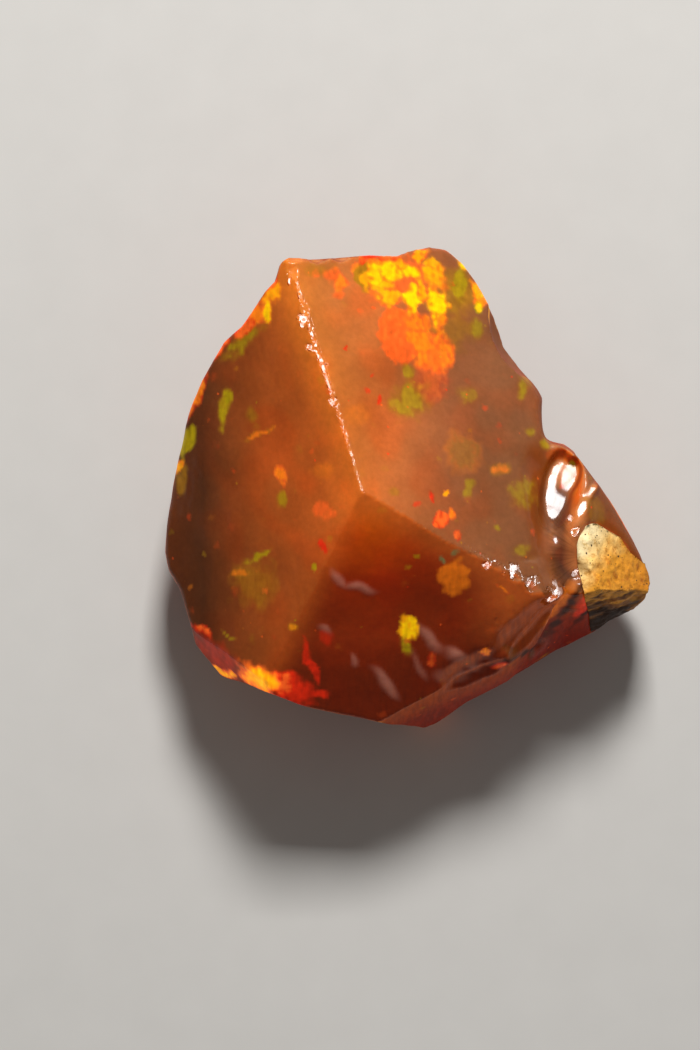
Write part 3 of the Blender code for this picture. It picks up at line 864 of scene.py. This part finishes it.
class Nodes:
    """A short way to write a material's nodes."""

    def __init__(self, name):
        self.material = bpy.data.materials.new(name)
        self.material.use_nodes = True
        self.tree = self.material.node_tree
        self.shader = self.tree.nodes["Principled BSDF"]

    def add(self, kind, inputs=(), **settings):
        node = self.tree.nodes.new(kind)
        for key, value in settings.items():
            setattr(node, key, value)
        for key, value in dict(inputs).items():
            self.set(node.inputs[key], value)
        return node

    def set(self, socket, value):
        if isinstance(value, bpy.types.NodeSocket):
            self.tree.links.new(value, socket)
        else:
            socket.default_value = value

    def millimetres(self):
        """The place on the piece, in millimetres."""
        place = self.add("ShaderNodeTexCoord").outputs["Object"]
        return self.add("ShaderNodeVectorMath", {0: place, "Scale": 1.0 / MM}, operation="SCALE").outputs[0]

    def attribute(self, name):
        return self.add("ShaderNodeAttribute", attribute_name=name)

    def noise(self, place, spacing, detail=2.0, roughness=0.5):
        values = {"Vector": place, "Scale": 1.0 / spacing, "Detail": detail, "Roughness": roughness}
        return self.add("ShaderNodeTexNoise", values).outputs[0]

    def cells(self, place, spacing):
        return self.add("ShaderNodeTexVoronoi", {"Vector": place, "Scale": 1.0 / spacing})

    def span(self, value, low, high, to_low=0.0, to_high=1.0):
        """A smooth step of the value from low to high."""
        values = {"Value": value, "From Min": low, "From Max": high, "To Min": to_low, "To Max": to_high}
        return self.add("ShaderNodeMapRange", values, interpolation_type="SMOOTHSTEP").outputs[0]

    def math(self, operation, first, second=0.0):
        return self.add("ShaderNodeMath", {0: first, 1: second}, operation=operation).outputs[0]

    def mix(self, factor, first, second, blend="MIX"):
        node = self.add("ShaderNodeMix", data_type="RGBA", blend_type=blend)
        self.set(node.inputs[0], factor)
        self.set(node.inputs[6], first)
        self.set(node.inputs[7], second)
        return node.outputs[2]

    def vector(self, operation, first, second):
        return self.add("ShaderNodeVectorMath", {0: first, 1: second}, operation=operation)

    def shaded(self, colour, amount):
        """The colour made lighter or darker by the amount."""
        grey = self.add("ShaderNodeCombineColor", {0: amount, 1: amount, 2: amount}).outputs[0]
        return self.mix(1.0, colour, grey, "MULTIPLY")

    def bump(self, height, strength, distance, normal=None):
        values = {"Height": height, "Strength": strength, "Distance": distance}
        if normal is not None:
            values["Normal"] = normal
        return self.add("ShaderNodeBump", values).outputs[0]


def rgba(colour):
    """A colour with full cover, as sockets take it."""
    return (*(float(value) for value in colour), 1.0)


def sparks(nodes, place, spacing, least):
    """Small flashes in a few of the opal's grains. Returns how much of them there is, and their colour."""
    grain = nodes.cells(place, spacing)
    pick = nodes.add("ShaderNodeSeparateColor", {0: grain.outputs["Color"]})
    ragged = nodes.math("MULTIPLY", nodes.noise(place, 0.25 * spacing, 2.0), 0.45)
    edge = nodes.math("ADD", grain.outputs["Distance"], ragged)
    chosen = nodes.span(pick.outputs[0], least, least + 0.03)
    share = nodes.math("MULTIPLY", chosen, nodes.span(edge, 0.55, 0.25))
    ramp = nodes.add("ShaderNodeValToRGB", {0: pick.outputs[1]})
    ramp.color_ramp.elements[0].color = rgba(FLASH_COLOURS["red"])
    ramp.color_ramp.elements[1].color = rgba(FLASH_COLOURS["green"])
    ramp.color_ramp.elements.new(0.4).color = rgba(FLASH_COLOURS["ember"])
    ramp.color_ramp.elements.new(0.7).color = rgba(FLASH_COLOURS["olive"])
    return share, ramp.outputs[0]


def flake_height(nodes, place, chips):
    """The height of the small flakes where the stone is chipped, in millimetres.

    Each is a flat facet that leans about the same way as the glassy patches.
    """
    flake = nodes.cells(place, FLAKE_SIZE)
    out = nodes.vector("SUBTRACT", place, flake.outputs["Position"]).outputs[0]
    normal = nodes.add("ShaderNodeNewGeometry").outputs["Normal"]
    against = nodes.math("MAXIMUM", nodes.vector("DOT_PRODUCT", normal, PATCH_LEAN).outputs["Value"], 0.5)
    inverse = nodes.math("DIVIDE", 1.0, against)
    leaning = nodes.add("ShaderNodeVectorMath", {0: PATCH_LEAN, "Scale": inverse}, operation="SCALE")
    slope = nodes.vector("SUBTRACT", normal, leaning.outputs[0]).outputs[0]
    chance = nodes.vector("SUBTRACT", flake.outputs["Color"], (0.5, 0.5, 0.5)).outputs[0]
    slope = nodes.vector("ADD", slope, nodes.vector("MULTIPLY", chance, FLAKE_TILT).outputs[0]).outputs[0]
    height = nodes.vector("DOT_PRODUCT", out, slope).outputs["Value"]
    return nodes.math("MULTIPLY", height, nodes.span(chips, 0.15, 0.6))


def hackle_shade(nodes, place):
    """Fine dark streaks that spread from one point, as a shade of the body's colour."""
    out = nodes.vector("SUBTRACT", place, (*HACKLE_CENTRE, 0.0)).outputs[0]
    axes = nodes.add("ShaderNodeSeparateXYZ", {0: out})
    leftward = nodes.math("MULTIPLY", axes.outputs[0], -1.0)
    turn = nodes.math("MULTIPLY", nodes.math("ARCTAN2", axes.outputs[1], leftward), HACKLE_STREAKS)
    far = nodes.vector("LENGTH", out, (0.0, 0.0, 0.0)).outputs["Value"]
    length = nodes.math("MULTIPLY", far, HACKLE_CHANGE)
    around = nodes.add("ShaderNodeCombineXYZ", {0: turn, 1: length}).outputs[0]
    dark = nodes.span(nodes.noise(around, 1.0, 2.0), 0.36, 0.70, 0.0, 0.30)
    here = nodes.attribute("hackled").outputs["Fac"]
    return nodes.math("SUBTRACT", 1.0, nodes.math("MULTIPLY", dark, here))


def opal_material():
    nodes = Nodes("opal_skin")
    place = nodes.millimetres()
    body = nodes.attribute("body").outputs["Color"]
    flash = nodes.attribute("flash").outputs["Color"]
    chips = nodes.attribute("chipped").outputs["Fac"]
    cloud = nodes.noise(place, 2.6, 3.0)
    mottle = nodes.noise(place, 0.35, 3.0, 0.6)
    streaks = nodes.noise(nodes.vector("MULTIPLY", place, (4.5, 0.9, 0.9)).outputs[0], 1.0, 2.0)
    body = nodes.shaded(body, nodes.span(cloud, 0.3, 0.7, 0.90, 1.10))
    body = nodes.shaded(body, nodes.span(mottle, 0.25, 0.75, 0.93, 1.07))
    body = nodes.shaded(body, hackle_shade(nodes, place))
    # The emission is a painted glow: the glow through the stone and the flashes with their sparks, given out
    # by the surface.
    glow = nodes.shaded(flash, nodes.span(streaks, 0.3, 0.7, 0.75, 1.2))
    for spacing, least, much in SPARKS:
        share, spark = sparks(nodes, place, spacing, least)
        body = nodes.mix(nodes.math("MULTIPLY", share, much), body, spark)
        glow = nodes.mix(nodes.math("MULTIPLY", share, SPARK_IN_GLOW * much), glow, spark)
    nodes.set(nodes.shader.inputs["Base Color"], body)
    nodes.set(nodes.shader.inputs["Emission Color"], glow)
    nodes.shader.inputs["Emission Strength"].default_value = GLOW_STRENGTH
    normal = nodes.bump(nodes.noise(place, 0.16, 2.0), 0.10, 0.02 * MM)
    normal = nodes.bump(flake_height(nodes, place, chips), 1.0, MM, normal)
    nodes.set(nodes.shader.inputs["Normal"], normal)
    sides = nodes.math("MULTIPLY", nodes.attribute("matt").outputs["Fac"], SIDE_ROUGHNESS)
    roughness = nodes.math("ADD", nodes.span(cloud, 0.35, 0.7, 0.12, 0.20), sides)
    nodes.set(nodes.shader.inputs["Roughness"], roughness)
    nodes.shader.inputs["IOR"].default_value = 1.45
    nodes.shader.inputs["Specular IOR Level"].default_value = 0.22
    nodes.shader.inputs["Subsurface Weight"].default_value = 0.25
    nodes.shader.inputs["Subsurface Radius"].default_value = (1.0, 0.35, 0.12)
    nodes.shader.inputs["Subsurface Scale"].default_value = 1.2 * MM
    return nodes.material


def host_material():
    nodes = Nodes("host_rock_skin")
    place = nodes.millimetres()
    body = nodes.attribute("body").outputs["Color"]
    mottle = nodes.noise(place, 0.9, 4.0, 0.65)
    base = nodes.shaded(body, nodes.span(mottle, 0.3, 0.7, 0.80, 1.16))
    stain = nodes.noise(place, 0.50, 4.0, 0.7)
    base = nodes.mix(nodes.span(stain, 0.50, 0.66), base, HOST_STAIN, "MULTIPLY")
    pits = nodes.cells(place, 0.28).outputs["Distance"]
    pits = nodes.math("ADD", pits, nodes.math("MULTIPLY", stain, 1.3))
    pitted = nodes.span(pits, 0.66, 0.80)
    base = nodes.mix(pitted, rgba(HOST_PITS), base)
    nodes.set(nodes.shader.inputs["Base Color"], base)
    grit = nodes.math("ADD", nodes.noise(place, 0.13, 3.0, 0.7), pitted)
    nodes.set(nodes.shader.inputs["Normal"], nodes.bump(grit, 0.6, 0.09 * MM))
    nodes.set(nodes.shader.inputs["Roughness"], nodes.span(mottle, 0.3, 0.7, 0.55, 0.85))
    nodes.shader.inputs["Specular IOR Level"].default_value = 0.35
    return nodes.material


def host_colours(points, normal):
    """Cream at the inner corner, ochre outwards, bright ochre high on the lower side as painted light, and
    dark brown low on the lower side.
    """
    x, y, z = points.T
    patchy = noise_at(points, "host patches")
    outward = (x - HOST_CORNER[0]) * 0.8 - (y - HOST_CORNER[1]) * 0.6 + 0.7 * patchy
    top = blend_along(outward, HOST_TOP)
    lower_side = smooth_step(-0.15, -0.5, normal[:, 1])
    # Painted light: the lower side is made bright ochre, as if lit.
    painted_lit = mixed(top, HOST_PAINTED_LIGHT, 0.9 * lower_side)
    deep = 10.8 - 0.8 * np.maximum(x - 11.2, 0.0) - z + 1.2 * noise_at(points, "host rust")
    painted_lit = mixed(painted_lit, HOST_BROWN, 0.8 * lower_side * smooth_step(0.5, 2.0, deep + 3.0 * patchy))
    dark = lower_side * smooth_step(1.6, 3.8, deep + 4.0 * noise_at(points, "host dark"))
    return mixed(painted_lit, HOST_DARK, 0.95 * dark)


# --------------------------------------------------------------------------------------------- pieces


def finish_piece(mesh, name, material):
    """An object of a mesh in millimetres, at its real size and with its material."""
    mesh.transform(Matrix.Scale(MM, 4))
    mesh.materials.append(material)
    mesh.shade_smooth()
    piece = bpy.data.objects.new(name, mesh)
    bpy.context.scene.collection.objects.link(piece)
    return piece


def under_host_rock():
    """The opal's own surface under the host rock: the rock's solid, sunk into its socket."""
    mesh = in_millimetres("host_rock")
    points = coordinates(mesh)
    middle = points.mean(axis=0)
    set_coordinates(mesh, middle + (points - middle) * UNDER_HOST_SCALE + UNDER_HOST_SHIFT)
    return mesh


def brightened(points, normal):
    """How much brighter the flashes' painted glow is than elsewhere: on steep sides, and most of all in the
    flame.
    """
    from_flame = np.hypot(points[:, 0] - FLAME[0], points[:, 1] - FLAME[1])
    flame = np.exp(-((from_flame / FLAME_REACH) ** 2))
    return 1.0 + 1.3 * smooth_step(0.75, 0.25, normal[:, 2]) * (1.0 - flame) + 1.8 * flame


def opal_piece():
    """The opal: its skin, rounded, laid flat in places and given relief, then what its material reads."""
    mesh = skin(in_millimetres("opal"), OPAL_GRAIN, OPAL_ROUNDS, under_host_rock())
    points = coordinates(mesh)
    points = laid_flat(relax(points, edge_ends(mesh), EVENING * roundness(points), ROUNDING_ROUNDS))
    set_coordinates(mesh, points)
    normal = normals(mesh)
    free = smooth_step(0.05, 1.0, points[:, 2])
    points = points + normal * (relief(points, normal) * free)[:, None]
    set_coordinates(mesh, points)
    flash, cover = play_of_colour(points, normal)
    bare = 1.0 - cover[:, None]
    # The body colour holds painted light and shade. What the surface gives out is a painted glow, with the
    # flashes brightened in it.
    flash_in_glow = flash * brightened(points, normal)[:, None]
    store(mesh, "body", body_colours(points, normal) * bare + FLASH_IN_BODY * flash)
    store(mesh, "flash", glow_colours(points, normal) * bare + flash_in_glow)
    store(mesh, "chipped", chipped(points, normal))
    store(mesh, "hackled", hackled(points))
    store(mesh, "matt", matt(normal))
    return finish_piece(mesh, "opal_stone", opal_material())


def host_piece():
    """The host rock: its skin, grown to the opal's wall all round, so that no gap is left."""
    mesh = skin(in_millimetres("host_rock"), HOST_GRAIN, HOST_ROUNDS)
    points, normal = coordinates(mesh), normals(mesh)
    wall = surface_of(in_millimetres("opal"))
    height = HOST_LUMP_HEIGHT * noise_at(points, "host lumps")
    height += HOST_GRIT_HEIGHT * noise_at(points, "host grit")
    for index, point in enumerate(points):
        spot, _, _, far = wall.find_nearest(point, SEAM_REACH)
        if spot is not None:
            pull = float(smooth_step(SEAM_REACH, SEAM_CLOSED, far))
            points[index] = Vector(point).lerp(spot, SEAM_SHARE * pull)
            height[index] *= 1.0 - SEAM_CALM * pull
    points = points + normal * height[:, None]
    set_coordinates(mesh, points)
    store(mesh, "body", host_colours(points, normal))
    return finish_piece(mesh, "host_rock_crust", host_material())


# ---------------------------------------------------------------------------------------------- studio


def floor():
    bm = bmesh.new()
    bmesh.ops.create_grid(bm, x_segments=1, y_segments=1, size=FLOOR_HALF)
    mesh = bpy.data.meshes.new("floor")
    bm.to_mesh(mesh)
    bm.free()
    nodes = Nodes("floor_paper")
    tone = nodes.noise(nodes.millimetres(), 3.0, 4.0)
    pale = nodes.mix(tone, rgba(PAPER[0]), rgba(PAPER[1]))
    nodes.set(nodes.shader.inputs["Base Color"], pale)
    nodes.shader.inputs["Roughness"].default_value = 0.9
    mesh.materials.append(nodes.material)
    ground = bpy.data.objects.new("floor", mesh)
    bpy.context.scene.collection.objects.link(ground)


def area_light(name, place, size, power):
    light = bpy.data.lights.new(name, "AREA")
    light.size = size
    light.energy = power
    lamp = bpy.data.objects.new(name, light)
    lamp.location = place
    lamp.rotation_euler = (Vector(AIM) - Vector(place)).to_track_quat("-Z", "Y").to_euler()
    bpy.context.scene.collection.objects.link(lamp)


def studio():
    floor()
    area_light("key", KEY_PLACE, KEY_SIZE, KEY_POWER)
    world = bpy.data.worlds.new("studio")
    world.use_nodes = True
    back = world.node_tree.nodes["Background"]
    back.inputs["Color"].default_value = WORLD_COLOUR
    back.inputs["Strength"].default_value = WORLD_STRENGTH
    bpy.context.scene.world = world
    bpy.context.scene.view_settings.view_transform = "Standard"


def camera():
    lens = bpy.data.cameras.new("camera")
    lens.lens = FOCAL_LENGTH
    lens.sensor_width = SENSOR_WIDTH
    lens.clip_start = 0.01
    eye = bpy.data.objects.new("camera", lens)
    eye.location = EYE
    bpy.context.scene.collection.objects.link(eye)
    bpy.context.scene.camera = eye


def main():
    camera()
    studio()
    for piece, node in ((opal_piece(), "opal"), (host_piece(), "host_rock")):
        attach(piece, "root")
        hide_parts(node)


main()
